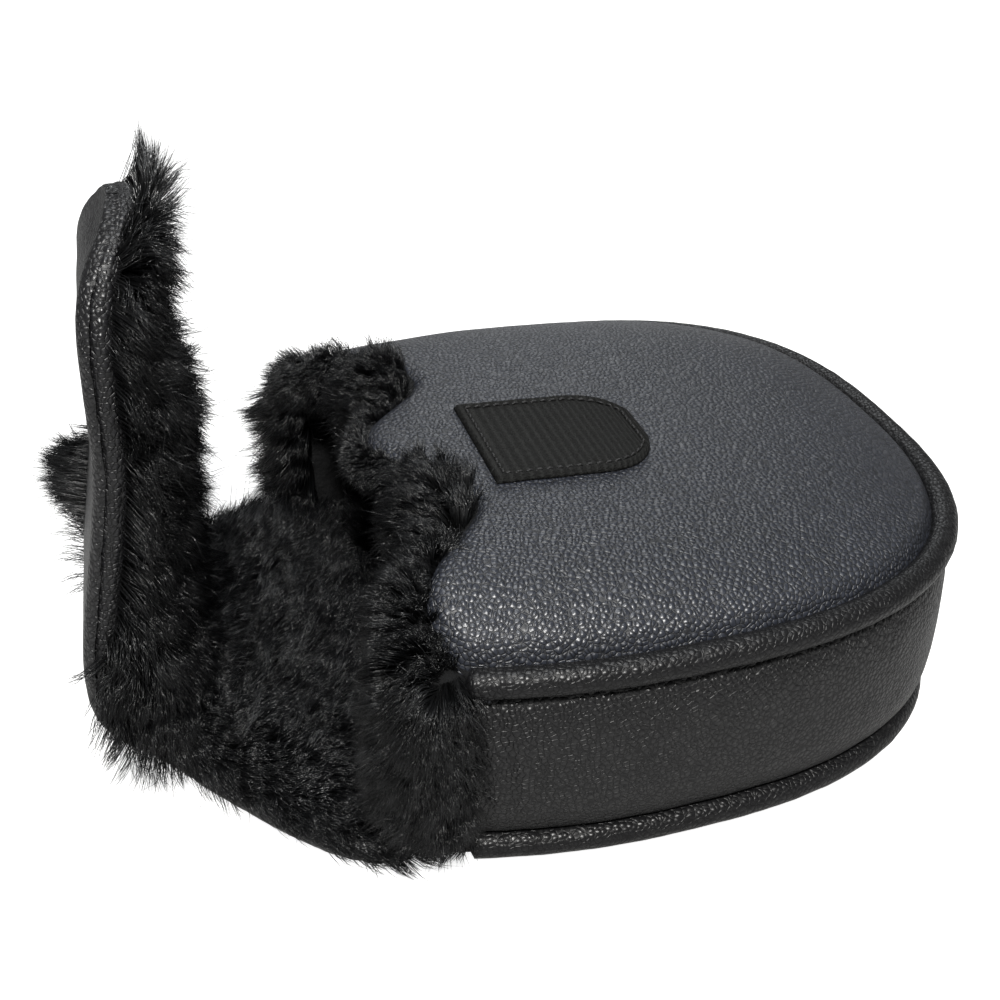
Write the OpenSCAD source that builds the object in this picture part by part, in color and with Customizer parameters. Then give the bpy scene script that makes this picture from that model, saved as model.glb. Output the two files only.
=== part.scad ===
// Fur-lined mallet putter cover: a low round pouch of padded leather with a domed lid,
// piped seams, an open mouth and a padded closing flap with hook-and-loop patches.
// +X runs from the mouth to the round back, +Y along the mouth, +Z up.
// The origin is on the resting face, below the middle of the widest line.

/* [Pouch] */
// Widest size of the pouch along Y, at its seams
pouch_w = 121; // [110:1:150]
// Depth from the widest line to the back seam
back_depth = 70; // [58:1:84]
// Depth from the widest line to the ends of the side wall at the mouth
front_depth = 33; // [27:1:40]
// Width of the pouch at the mouth, at its seams
mouth_w = 112; // [98:1:120]
// Squareness of the back outline, 2 is an ellipse
back_square = 2.7; // [2.2:0.1:3.4]
// Height of the side wall between its seams
side_h = 31; // [25:1:37]
// How far the side wall bulges out
side_bulge = 2.8; // [1:0.1:3.5]

/* [Lid] */
// Rise of the padded lid above its seam
crown = 10; // [6:0.5:12]
// Fullness of the lid, higher is flatter in the middle and steeper at the seam
fullness = 5; // [3:0.5:7]
// Extra rise of the lid at the mouth
mouth_rise = 2; // [0:0.5:4]
// How far the middle tongue of the lid reaches past the ends of the side wall
tongue_reach = 4.5; // [2:0.5:6]
// Depth of the two shaft notches, from the tip of the tongue
notch_depth = 14; // [11:1:17]
// Spacing of the two shaft notches
notch_spacing = 46; // [38:1:54]

/* [Materials] */
// Thickness of the leather
leather_t = 1.2; // [0.9:0.1:1.6]
// Thickness of the foam padding
foam_t = 2.2; // [1.5:0.1:3]
// Thickness of the pressed fur fabric
fur_t = 3.2; // [2.4:0.1:4]
// Outside radius of the piping
piping_r = 2.6; // [2.2:0.1:3]
// Radius of the cord inside the piping
cord_r = 1.2; // [0.9:0.1:1.4]
// Radius of the seam thread
thread_r = 0.4; // [0.3:0.1:0.6]

/* [Flap] */
// Gap from the ends of the side wall to the mouth fold
fold_gap = 13; // [11:1:18]
// Flat length of the flap before it turns up
flap_flat = 28; // [24:1:32]
// Outside radius of the turn
turn_r = 18; // [15:1:22]
// Lean of the upright part towards the mouth, in degrees
flap_lean = 5; // [0:1:8]
// Length from the end of the turn to the upper fold
mid_len = 26; // [22:1:30]
// Length from the upper fold to the round end
tip_len = 60; // [52:1:70]
// Width of the flap at the mouth fold
flap_w = 110; // [96:1:114]
// Width of the upright part of the flap
strap_w = 42; // [38:1:48]
// Radius of the rolled leather edge
roll_r = 2.2; // [1.8:0.1:2.6]

/* [Fastening] */
// Length of the loop patch
loop_len = 33; // [28:1:38]
// Width of the loop patch
loop_w = 29; // [24:1:32]
// Place of the straight end of the loop patch along X
loop_start = -19; // [-21:1:-12]
// Sideways offset of the loop patch from the middle of the lid
loop_offset = -7; // [-8:1:8]
// Length and width of the hook patch
hook_size = 26; // [20:1:28]
// Distance of the hook patch from the end of the flap
hook_inset = 10; // [8:1:14]
// Thickness of both patches
patch_t = 1.3; // [1:0.1:1.8]
// Length of one stitch
stitch_len = 2.2; // [1.6:0.1:3]

/* [Fur edges] */
// Radius of the fur edge on the tongue
tongue_fur_r = 1.6; // [1.2:0.1:2]
// Radius of the fur that fills each notch
notch_fur_r = 2.8; // [2.2:0.1:3.4]
// Radius of the fur edge beside each notch
corner_fur_r = 2.2; // [1.6:0.1:2.8]
// Radius of the fur edge on each end of the side wall
side_fur_r = 3.4; // [2.6:0.1:4]

/* [Hidden] */

leather = [0.07, 0.07, 0.085];
padding = [0.55, 0.55, 0.5];
fur = [0.03, 0.03, 0.035];
webbing = [0.1, 0.1, 0.1];
thread = [0.15, 0.15, 0.16];

ply_gap = 0.15;             // air between two plies
foam_at = leather_t + ply_gap;
fur_at = foam_at + foam_t + ply_gap;
wall_t = fur_at + fur_t;    // leather, foam and fur together

half_w = pouch_w / 2;
half_mouth = min(mouth_w / 2, half_w - 2);
side_low = 2 * piping_r;    // the side wall starts on top of the bottom piping
side_high = side_low + side_h;
piping_low_z = piping_r + 0.05;
piping_high_z = side_high + piping_r;
lid_seam_z = side_high + 2 * piping_r;
piping_out = 0.6;           // piping centre outside the seam line

back_steps = 26;
front_steps = 4;
rows = 6;                   // rows of points up the side wall
ring_sides = 8;

// ---- helpers: shells between two grids of points, rods along a path ----

function flat_list(grid) = [for (line = grid) for (p = line) p];

// Closed solid between two grids of the same size; seen from outside grid "front",
// its first index runs to the right and its second index runs up.
module shell(front, behind) {
    nu = len(front);
    nv = len(front[0]);
    n = nu * nv;
    quads = [
        for (i = [0:nu - 2], j = [0:nv - 2]) [i * nv + j, i * nv + j + 1, (i + 1) * nv + j + 1, (i + 1) * nv + j],
        for (i = [0:nu - 2], j = [0:nv - 2])
            [n + (i + 1) * nv + j, n + (i + 1) * nv + j + 1, n + i * nv + j + 1, n + i * nv + j],
        for (i = [0:nu - 2]) [i * nv, (i + 1) * nv, n + (i + 1) * nv, n + i * nv],
        for (i = [0:nu - 2], j = nv - 1) [(i + 1) * nv + j, i * nv + j, n + i * nv + j, n + (i + 1) * nv + j],
        for (j = [0:nv - 2]) [j + 1, j, n + j, n + j + 1],
        for (j = [0:nv - 2], i = nu - 1) [i * nv + j, i * nv + j + 1, n + i * nv + j + 1, n + i * nv + j]
    ];
    polyhedron(concat(flat_list(front), flat_list(behind)),
        [for (q = quads) each [[q[0], q[1], q[2]], [q[0], q[2], q[3]]]]);
}

function unit(v) = v / norm(v);
function along(path, i) = unit(path[min(i + 1, len(path) - 1)] - path[max(i - 1, 0)]);

// Ring of points round point i of a path that is nowhere vertical
function ring(path, i, r) =
    let (t = along(path, i), side = unit(cross(t, [0, 0, 1])), up = cross(side, t))
    [for (k = [0:ring_sides - 1]) path[i] + r * (cos(360 * k / ring_sides) * side + sin(360 * k / ring_sides) * up)];

module rod(path, r) {
    n = len(path);
    m = ring_sides;
    quads = [for (i = [0:n - 2], k = [0:m - 1]) [i * m + k, i * m + (k + 1) % m, (i + 1) * m + (k + 1) % m, (i + 1) * m + k]];
    polyhedron([for (i = [0:n - 1]) each ring(path, i, r)],
        concat([for (q = quads) each [[q[0], q[1], q[2]], [q[0], q[2], q[3]]]],
            [for (k = [1:m - 2]) [0, k + 1, k]],
            [for (k = [1:m - 2]) [(n - 1) * m, (n - 1) * m + k, (n - 1) * m + k + 1]]));
}

// ---- plan outline of the pouch ----

function back_point(a) = [back_depth * pow(cos(a), 2 / back_square), half_w * sign(a) * pow(abs(sin(a)), 2 / back_square)];
function half_width(x) = half_w - (half_w - half_mouth) * pow(x / front_depth, 2);
plan = concat(
    [for (k = [front_steps:-1:1]) let (x = -front_depth * k / front_steps) [x, -half_width(x)]],
    [for (k = [0:back_steps]) back_point(-89.9 + 179.8 * k / back_steps)],
    [for (k = [1:front_steps]) let (x = -front_depth * k / front_steps) [x, half_width(x)]]);
function outward(i) = let (t = unit(plan[min(i + 1, len(plan) - 1)] - plan[max(i - 1, 0)])) [t[1], -t[0]];
function plan_at(i, out, z) = let (p = plan[i] + out * outward(i)) [p[0], p[1], z];
function plan_path(out, z) = [for (i = [0:len(plan) - 1]) plan_at(i, out, z)];

// ---- bottom ----

fold_x = -front_depth - fold_gap;   // the flap's mouth fold
fold_z = leather_t / 2;
fold_angle = 51;                    // how far the flap closes at the mouth fold
tip_angle = 31;                     // and at the upper fold
function relief(angle, height) = 0.35 + height * tan(angle / 2 + 2);

module bottom_plate(inset, low, high) {
    front_x = fold_x + relief(fold_angle, high - fold_z);
    mouth_edge = flap_w / 2 - inset;
    outline = [for (i = [0:len(plan) - 1]) let (p = plan_at(i, -inset, 0)) [p[0], p[1]]];
    translate([0, 0, low])
        linear_extrude(high - low)
            polygon(concat([[front_x, -mouth_edge]], outline, [[front_x, mouth_edge]]));
}

module bottom_panel() { color(leather) bottom_plate(2.2, 0, leather_t); }
module bottom_foam() { color(padding) bottom_plate(wall_t + 1, foam_at, foam_at + foam_t); }
module bottom_lining() { color(fur) bottom_plate(wall_t + 1, fur_at, wall_t); }

// ---- piping: a leather strip folded round a cord, its slit towards the seam ----

slit = 14;                  // half angle of the slit
function fold_over(i, z, r) = [for (k = [0:ring_sides]) let (a = 180 - slit - (360 - 2 * slit) * k / ring_sides)
    plan_at(i, piping_out + r * cos(a), z + r * sin(a))];

module piping_cover(z) {
    shell([for (i = [0:len(plan) - 1]) [for (k = [ring_sides:-1:0]) fold_over(i, z, piping_r)[k]]],
        [for (i = [0:len(plan) - 1]) [for (k = [ring_sides:-1:0]) fold_over(i, z, cord_r + ply_gap)[k]]]);
}

module bottom_piping_cover() { color(leather) piping_cover(piping_low_z); }
module bottom_piping_cord() { color(padding) rod(plan_path(piping_out, piping_low_z), cord_r); }
module top_piping_cover() { color(leather) piping_cover(piping_high_z); }
module top_piping_cord() { color(padding) rod(plan_path(piping_out, piping_high_z), cord_r); }

// Threads of the two seams lie just inside the piping's slit
module bottom_seam_thread() { color(thread) rod(plan_path(piping_out - piping_r - thread_r - 0.1, piping_low_z), thread_r); }
module top_seam_thread() { color(thread) rod(plan_path(piping_out - piping_r - thread_r - 0.1, piping_high_z), thread_r); }

// ---- side wall ----

function bulge(z) = side_bulge * (1 - pow(2 * (z - side_low) / side_h - 1, 2));
module side_wall(out, t, low, high) {
    heights = [for (k = [0:rows]) low + (high - low) * k / rows];
    shell([for (i = [0:len(plan) - 1]) [for (z = heights) plan_at(i, bulge(z) + out, z)]],
        [for (i = [0:len(plan) - 1]) [for (z = heights) plan_at(i, bulge(z) + out - t, z)]]);
}

module side_panel() { color(leather) side_wall(0, leather_t, side_low + 0.2, side_high - 0.2); }
module side_foam() { color(padding) side_wall(-foam_at, foam_t, side_low + 0.4, side_high - 0.4); }
module side_lining() { color(fur) side_wall(-fur_at, fur_t, wall_t + 0.3, side_high - 2); }

// ---- lid ----

tongue_x = -front_depth - tongue_reach;
// Mouth edge of the lid: a tongue in the middle, a notch on each side of it, then the corners
function wave(y) = tongue_x + notch_depth * (1 - cos(360 * y / notch_spacing)) / 2;
function mouth_edge(y) = let (a = abs(y), past = (a - notch_spacing) / (half_mouth - notch_spacing))
    a < notch_spacing ? wave(y) : tongue_x + tongue_reach * pow(min(past, 1), 2);
function front_edge(y) = abs(y) <= half_mouth ? mouth_edge(y)
    : -front_depth * sqrt(max(0, half_w - abs(y)) / (half_w - half_mouth));
function back_edge(y) = back_depth * pow(1 - pow(abs(y) / half_w, back_square), 1 / back_square);

// 0 in the middle of the lid, 1 at its seam
function reach(x, y) = min(1, x > 0 ? pow(pow(x / back_depth, back_square) + pow(abs(y) / half_w, back_square), 1 / back_square)
    : abs(y) / half_width(x));
function lid_z(x, y) = lid_seam_z + (crown - mouth_rise * x / front_depth) * (1 - pow(reach(x, y), fullness));

lid_cols = 30;              // columns of points along Y
lid_rows = 14;              // points from the mouth edge to the back
module lid_ply(inset, low, high) {
    reach_y = 0.985 * half_w - inset;
    ys = [for (k = [0:lid_cols]) reach_y * sin(-90 + 180 * k / lid_cols)];
    function at(i, j, drop) = let (y = ys[j], edge = front_edge(y) + 0.2, back = back_edge(y * half_w / (reach_y + inset)) - inset,
        x = edge + (back - edge) * (1 - cos(180 * i / lid_rows)) / 2) [x, y, lid_z(x, y) - drop];
    shell([for (i = [0:lid_rows]) [for (j = [0:lid_cols]) at(i, j, low)]],
        [for (i = [0:lid_rows]) [for (j = [0:lid_cols]) at(i, j, high)]]);
}

module top_panel() { color(leather) lid_ply(leather_t + 3, 0, leather_t); }
module top_foam() { color(padding) lid_ply(wall_t + 0.6, foam_at, foam_at + foam_t); }
module top_lining() { color(fur) lid_ply(wall_t + 0.6, fur_at, wall_t); }

// ---- loop patch on the lid: straight towards the mouth, round towards the back ----

patch_round = 0.45 * loop_w;    // length of the patch's round end
function patch_half(x) = let (into = x - (loop_start + loop_len - patch_round))
    into <= 0 ? loop_w / 2 : loop_w / 2 * sqrt(max(0.02, 1 - pow(into / patch_round, 2)));
module loop_patch() {
    steps = 12;
    across = 6;
    function at(i, j, z) = let (x = loop_start + loop_len * sin(90 * i / steps),
        y = loop_offset + patch_half(x) * (2 * j / across - 1)) [x, y, lid_z(x, y) + z];
    color(webbing) shell([for (i = [0:steps]) [for (j = [0:across]) at(i, j, patch_t)]],
        [for (i = [0:steps]) [for (j = [0:across]) at(i, j, ply_gap)]]);
}

// Stitches in a row along a line of points, lying on the patch
module stitch_row(path) {
    for (i = [0:len(path) - 2])
        let (a = path[i], b = path[i + 1], mid = (a + b) / 2, d = b - a)
            translate(mid)
                rotate([0, -atan2(d[2], norm([d[0], d[1]])), atan2(d[1], d[0])])
                    cube([0.7 * norm(d), 2 * thread_r, 2 * thread_r], center = true);
}

module loop_stitching() {
    margin = 1.6;
    straight = loop_len - patch_round;
    lift = patch_t + thread_r + 0.1;
    function on_lid(x, y) = [x, loop_offset + y, lid_z(x, loop_offset + y) + lift];
    n_side = floor(straight / stitch_len);
    n_end = floor((loop_w - 2 * margin) / stitch_len);
    edge_y = loop_w / 2 - margin;
    color(thread) {
        for (side = [-1, 1])
            stitch_row([for (k = [0:n_side]) on_lid(loop_start + margin + (straight - margin) * k / n_side, side * edge_y)]);
        stitch_row([for (k = [0:n_end]) on_lid(loop_start + margin, edge_y * (2 * k / n_end - 1))]);
        stitch_row([for (k = [0:n_end + 4]) let (a = -90 + 180 * k / (n_end + 4))
            on_lid(loop_start + straight + (patch_round - margin) * cos(a), edge_y * sin(a))]);
    }
}

// ---- fur edges of the mouth ----

// Along the lid's mouth edge from y0 to y1, just in front of the edge
module fur_edge(y0, y1, r, steps) {
    path = [for (k = [0:steps]) let (y = y0 + (y1 - y0) * k / steps, x = mouth_edge(y)) [x - r - 1, y, lid_z(x, y) - wall_t / 2]];
    rod(path, r);
}

tongue_half = 0.24 * notch_spacing;
notch_end = 0.76 * notch_spacing;
module tongue_fur_edge() { color(fur) fur_edge(-tongue_half, tongue_half, tongue_fur_r, 8); }
module near_notch_fur() { color(fur) fur_edge(-notch_end, -tongue_half - 1, notch_fur_r, 10); }
module far_notch_fur() { color(fur) fur_edge(tongue_half + 1, notch_end, notch_fur_r, 10); }
module near_corner_fur() { color(fur) fur_edge(-half_mouth + 1, -notch_end - 1, corner_fur_r, 8); }
module far_corner_fur() { color(fur) fur_edge(notch_end + 1, half_mouth - 1, corner_fur_r, 8); }

// On each end of the side wall
module side_fur(side) {
    translate([-front_depth - side_fur_r - 0.6, side * (half_mouth - wall_t / 2), wall_t + 1])
        cylinder(h = side_h - wall_t - 1, r = side_fur_r, $fn = 24);
}
module near_side_fur() { color(fur) side_fur(-1); }
module far_side_fur() { color(fur) side_fur(1); }

// ---- flap: flat, a turn, then upright; measured along its leather from the mouth fold ----

turn = 90 + flap_lean;
turn_len = PI * turn_r * turn / 180;
up_start = flap_flat + turn_len;
base_end = flap_flat + turn_len / 2;
middle_end = up_start + mid_len;
flap_end = middle_end + tip_len;

// Point at length s from the mouth fold and height t above the leather's outer face
function flap_at(s, y, t) =
    s < flap_flat ? [fold_x - s, y, t]
    : s < up_start ? let (a = (s - flap_flat) / turn_r * 180 / PI)
        [fold_x - flap_flat - (turn_r - t) * sin(a), y, turn_r - (turn_r - t) * cos(a)]
    : let (a = turn, d = s - up_start)
        [fold_x - flap_flat - (turn_r - t) * sin(a) - d * cos(a), y, turn_r - (turn_r - t) * cos(a) + d * sin(a)];

neck = flap_flat + turn_len / 2;    // where the flap has narrowed to the strap
end_round = strap_w / 2;
function flap_half(s) = s < neck ? strap_w / 2 + (flap_w - strap_w) / 2 * (1 + cos(180 * s / neck)) / 2
    : s < flap_end - end_round ? strap_w / 2
    : strap_w / 2 * sqrt(max(0.01, 1 - pow((s - flap_end + end_round) / end_round, 2)));

// One ply of the flap between two lengths, its edges drawn in by inset; an inset on the
// round end shortens the ply as well
module flap_ply(s0, s1, t0, t1, inset, steps) {
    across = 4;
    last = min(s1, flap_end - inset);
    tail = last > flap_end - end_round;
    function spread(k) = tail ? sin(90 * k / steps) : k / steps;
    function half(s) = tail && s > flap_end - end_round
        ? (strap_w / 2 - inset) * sqrt(max(0.01, 1 - pow((s - flap_end + end_round) / (end_round - inset), 2)))
        : flap_half(s) - inset;
    function at(k, j, t) = let (s = s0 + (last - s0) * spread(k)) flap_at(s, half(s) * (2 * j / across - 1), t);
    shell([for (k = [steps:-1:0]) [for (j = [0:across]) at(k, j, t1)]],
        [for (k = [steps:-1:0]) [for (j = [0:across]) at(k, j, t0)]]);
}

// Rolled leather edge: a lip on the fur side, along both edges of the flap
module flap_lip(s0, s1, side, steps) {
    rod([for (k = [0:steps]) let (s = s0 + (s1 - s0) * k / steps)
        flap_at(s, side * (flap_half(s) - roll_r), leather_t + ply_gap + roll_r)], roll_r);
}

lip_w = 2 * roll_r + 0.4;
base_lip_w = 1.5 * lip_w;           // the base's edges slant
fold_end = 0.35;                    // half of the gap between two leathers at a fold

module flap_piece_leather(s0, s1, steps) { color(leather) flap_ply(s0, s1, 0, leather_t, 0, steps); }
module flap_piece_foam(s0, s1, inset, steps) { color(padding) flap_ply(s0, s1, foam_at, foam_at + foam_t, inset, steps); }
module flap_piece_lining(s0, s1, inset, steps) { color(fur) flap_ply(s0, s1, fur_at, wall_t, inset, steps); }

base_gap = relief(fold_angle, wall_t);
tip_gap = relief(tip_angle, wall_t);

module flap_base_leather() { flap_piece_leather(relief(fold_angle, leather_t / 2), base_end - fold_end, 12); }
module flap_base_foam() { flap_piece_foam(base_gap, base_end - fold_end, base_lip_w, 10); }
module flap_base_lining() { flap_piece_lining(base_gap, base_end - fold_end, base_lip_w, 10); }
module flap_base_edge() {
    color(leather) for (side = [-1, 1]) flap_lip(base_gap, base_end - fold_end - 0.5, side, 10);
}

module flap_middle_leather() { flap_piece_leather(base_end + fold_end, middle_end - fold_end, 8); }
module flap_middle_foam() { flap_piece_foam(base_end + fold_end, middle_end - tip_gap, lip_w, 8); }
module flap_middle_lining() { flap_piece_lining(base_end + fold_end, middle_end - tip_gap, lip_w, 8); }
module flap_middle_edge() {
    color(leather) for (side = [-1, 1]) flap_lip(base_end + fold_end + 0.5, middle_end - tip_gap, side, 8);
}

module flap_tip_leather() { flap_piece_leather(middle_end + relief(tip_angle, leather_t), flap_end, 12); }
module flap_tip_foam() { flap_piece_foam(middle_end + tip_gap, flap_end, lip_w, 12); }
module flap_tip_lining() { flap_piece_lining(middle_end + tip_gap, flap_end, lip_w, 12); }

// The lip runs up one edge, round the end and down the other edge
module flap_tip_edge() {
    straight = flap_end - end_round;
    r = end_round - roll_r;
    t = leather_t + ply_gap + roll_r;
    start = middle_end + tip_gap;
    near = [for (k = [0:5]) flap_at(start + (straight - start) * k / 5, -r, t)];
    around = [for (k = [1:11]) let (a = 180 * k / 12) flap_at(straight + r * sin(a), -r * cos(a), t)];
    far = [for (k = [5:-1:0]) flap_at(start + (straight - start) * k / 5, r, t)];
    color(leather) lip_rod(concat(near, around, far), roll_r);
}

// A rod in the plane of the upright flap, whose path is vertical in places
module lip_rod(path, r) {
    n = len(path);
    m = ring_sides;
    through = [sin(turn), 0, cos(turn)];
    function ring_at(i) = let (t = along(path, i), side = unit(cross(t, through)))
        [for (k = [0:m - 1]) path[i] + r * (cos(360 * k / m) * side + sin(360 * k / m) * through)];
    quads = [for (i = [0:n - 2], k = [0:m - 1]) [i * m + k, i * m + (k + 1) % m, (i + 1) * m + (k + 1) % m, (i + 1) * m + k]];
    polyhedron([for (i = [0:n - 1]) each ring_at(i)],
        concat([for (q = quads) each [[q[0], q[1], q[2]], [q[0], q[2], q[3]]]],
            [for (k = [1:m - 2]) [0, k + 1, k]],
            [for (k = [1:m - 2]) [(n - 1) * m, (n - 1) * m + k, (n - 1) * m + k + 1]]));
}

// ---- hook patch on the fur side of the flap's tip ----

hook_start = flap_end - hook_inset - hook_size;
module hook_patch() {
    steps = 4;
    function at(i, j, t) = flap_at(hook_start + hook_size * i / steps, hook_size * (j / steps - 0.5), t);
    color(webbing) shell([for (i = [steps:-1:0]) [for (j = [0:steps]) at(i, j, wall_t + ply_gap + patch_t)]],
        [for (i = [steps:-1:0]) [for (j = [0:steps]) at(i, j, wall_t + ply_gap)]]);
}

module hook_stitching() {
    margin = 1.6;
    n = floor(hook_size / stitch_len);
    lift = wall_t + ply_gap + patch_t + thread_r + 0.05;
    edge = hook_size / 2 - margin;
    mid = hook_start + hook_size / 2;
    function step_at(k) = edge * (2 * k / n - 1);
    color(thread) for (side = [-1, 1]) {
        stitch_row([for (k = [0:n]) flap_at(mid + step_at(k), side * edge, lift)]);
        stitch_row([for (k = [0:n]) flap_at(mid + side * edge, step_at(k), lift)]);
    }
}

bottom_panel();
bottom_foam();
bottom_lining();
bottom_piping_cover();
bottom_piping_cord();
bottom_seam_thread();
side_panel();
side_foam();
side_lining();
top_piping_cover();
top_piping_cord();
top_seam_thread();
top_panel();
top_foam();
top_lining();
loop_patch();
loop_stitching();
tongue_fur_edge();
near_notch_fur();
far_notch_fur();
near_corner_fur();
far_corner_fur();
near_side_fur();
far_side_fur();
flap_base_leather();
flap_base_foam();
flap_base_lining();
flap_base_edge();
flap_middle_leather();
flap_middle_foam();
flap_middle_lining();
flap_middle_edge();
flap_tip_leather();
flap_tip_foam();
flap_tip_lining();
flap_tip_edge();
hook_patch();
hook_stitching();
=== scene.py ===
import math
import bpy
import numpy as np
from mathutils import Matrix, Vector
from mathutils.kdtree import KDTree


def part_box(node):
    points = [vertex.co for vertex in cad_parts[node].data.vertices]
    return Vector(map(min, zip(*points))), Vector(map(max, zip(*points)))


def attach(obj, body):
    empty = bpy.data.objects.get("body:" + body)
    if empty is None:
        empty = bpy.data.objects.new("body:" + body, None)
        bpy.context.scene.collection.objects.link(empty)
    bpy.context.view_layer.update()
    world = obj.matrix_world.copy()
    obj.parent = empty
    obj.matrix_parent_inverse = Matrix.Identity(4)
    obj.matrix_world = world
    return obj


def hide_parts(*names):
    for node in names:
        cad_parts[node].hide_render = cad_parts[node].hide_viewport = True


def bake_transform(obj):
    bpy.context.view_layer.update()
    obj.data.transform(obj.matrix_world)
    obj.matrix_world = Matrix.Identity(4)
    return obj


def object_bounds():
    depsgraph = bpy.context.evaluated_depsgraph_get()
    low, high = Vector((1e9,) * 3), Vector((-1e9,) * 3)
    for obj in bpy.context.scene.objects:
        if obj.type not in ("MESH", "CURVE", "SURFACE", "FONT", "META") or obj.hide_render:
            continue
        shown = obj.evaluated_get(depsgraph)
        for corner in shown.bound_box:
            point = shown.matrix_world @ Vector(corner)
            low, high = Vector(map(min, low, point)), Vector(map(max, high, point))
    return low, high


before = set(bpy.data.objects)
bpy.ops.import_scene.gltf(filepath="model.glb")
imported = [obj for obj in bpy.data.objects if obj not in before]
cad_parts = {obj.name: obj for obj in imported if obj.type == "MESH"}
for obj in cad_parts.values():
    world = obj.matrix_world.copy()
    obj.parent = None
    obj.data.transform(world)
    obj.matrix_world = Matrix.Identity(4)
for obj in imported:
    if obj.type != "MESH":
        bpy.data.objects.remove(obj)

cad_low, cad_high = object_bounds()
mm = 0.001


# ---- pebbled leather -------------------------------------------------------------------
# Black coated leather with a rounded pebble grain about a millimetre wide. The same hide
# covers the lid, the wall, the underside, the piping and the flap.
pebble_size = 0.97 * mm
pebble_height = 0.19 * mm
pebble_drift = 0.5 * mm     # how far the pebbles stray from an even cell


def times_plus(nodes, links, value, factor, added):
    total = nodes.new("ShaderNodeMath")
    total.operation = "MULTIPLY_ADD"
    total.inputs[1].default_value = factor
    links.new(value, total.inputs[0])
    links.new(added, total.inputs[2])
    return total.outputs[0]


def grain_group():
    group = bpy.data.node_groups.new("pebble_grain", "ShaderNodeTree")
    group.interface.new_socket(name="Scale", in_out="INPUT", socket_type="NodeSocketFloat")
    group.interface.new_socket(name="Height", in_out="OUTPUT", socket_type="NodeSocketFloat")
    group.interface.new_socket(name="Crest", in_out="OUTPUT", socket_type="NodeSocketFloat")
    group.interface.new_socket(name="Patch", in_out="OUTPUT", socket_type="NodeSocketFloat")
    nodes, links = group.nodes, group.links
    given = nodes.new("NodeGroupInput")
    out = nodes.new("NodeGroupOutput")
    place = nodes.new("ShaderNodeTexCoord")
    drift = nodes.new("ShaderNodeTexNoise")
    drift.inputs["Scale"].default_value = 260
    drift.inputs["Detail"].default_value = 2
    links.new(place.outputs["Object"], drift.inputs["Vector"])
    centred = nodes.new("ShaderNodeVectorMath")
    centred.operation = "SUBTRACT"
    centred.inputs[1].default_value = (0.5, 0.5, 0.5)
    links.new(drift.outputs["Color"], centred.inputs[0])
    shifted = nodes.new("ShaderNodeVectorMath")
    shifted.operation = "MULTIPLY_ADD"
    shifted.inputs[1].default_value = (pebble_drift, pebble_drift, pebble_drift)
    links.new(centred.outputs[0], shifted.inputs[0])
    links.new(place.outputs["Object"], shifted.inputs[2])
    pebbles = nodes.new("ShaderNodeTexVoronoi")
    pebbles.feature = "DISTANCE_TO_EDGE"
    links.new(given.outputs["Scale"], pebbles.inputs["Scale"])
    links.new(shifted.outputs[0], pebbles.inputs["Vector"])
    dome = nodes.new("ShaderNodeMapRange")
    dome.interpolation_type = "SMOOTHERSTEP"
    dome.inputs["From Max"].default_value = 0.16
    links.new(pebbles.outputs["Distance"], dome.inputs["Value"])
    swell = nodes.new("ShaderNodeTexVoronoi")
    swell.feature = "SMOOTH_F1"
    swell.inputs["Smoothness"].default_value = 0.25
    links.new(given.outputs["Scale"], swell.inputs["Scale"])
    links.new(shifted.outputs[0], swell.inputs["Vector"])
    round_top = nodes.new("ShaderNodeMapRange")
    round_top.interpolation_type = "SMOOTHSTEP"
    round_top.inputs["From Min"].default_value = 0.75
    round_top.inputs["From Max"].default_value = 0.0
    links.new(swell.outputs["Distance"], round_top.inputs["Value"])
    body = times_plus(nodes, links, dome.outputs["Result"], 0.55, round_top.outputs["Result"])
    fine = nodes.new("ShaderNodeTexNoise")
    fine.inputs["Scale"].default_value = 3200
    fine.inputs["Detail"].default_value = 3
    links.new(place.outputs["Object"], fine.inputs["Vector"])
    mixed = times_plus(nodes, links, fine.outputs["Fac"], 0.16, body)
    patch = nodes.new("ShaderNodeTexNoise")
    patch.inputs["Scale"].default_value = 42
    patch.inputs["Detail"].default_value = 3
    links.new(place.outputs["Object"], patch.inputs["Vector"])
    links.new(mixed, out.inputs["Height"])
    links.new(dome.outputs["Result"], out.inputs["Crest"])
    links.new(patch.outputs["Fac"], out.inputs["Patch"])
    return group


grain = grain_group()


def blend_colour(nodes, links, mask, dark, light):
    mix = nodes.new("ShaderNodeMix")
    mix.data_type = "RGBA"
    mix.inputs["A"].default_value = (*dark, 1)
    mix.inputs["B"].default_value = (*light, 1)
    links.new(mask, mix.inputs["Factor"])
    return mix.outputs["Result"]


def map_value(nodes, links, value, low, high):
    span = nodes.new("ShaderNodeMapRange")
    span.inputs["To Min"].default_value = low
    span.inputs["To Max"].default_value = high
    links.new(value, span.inputs["Value"])
    return span.outputs["Result"]


def tinted(nodes, links, colour, tint):
    mix = nodes.new("ShaderNodeMix")
    mix.data_type = "RGBA"
    mix.blend_type = "MULTIPLY"
    mix.inputs["Factor"].default_value = 1
    links.new(colour, mix.inputs["A"])
    links.new(tint, mix.inputs["B"])
    return mix.outputs["Result"]


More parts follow.
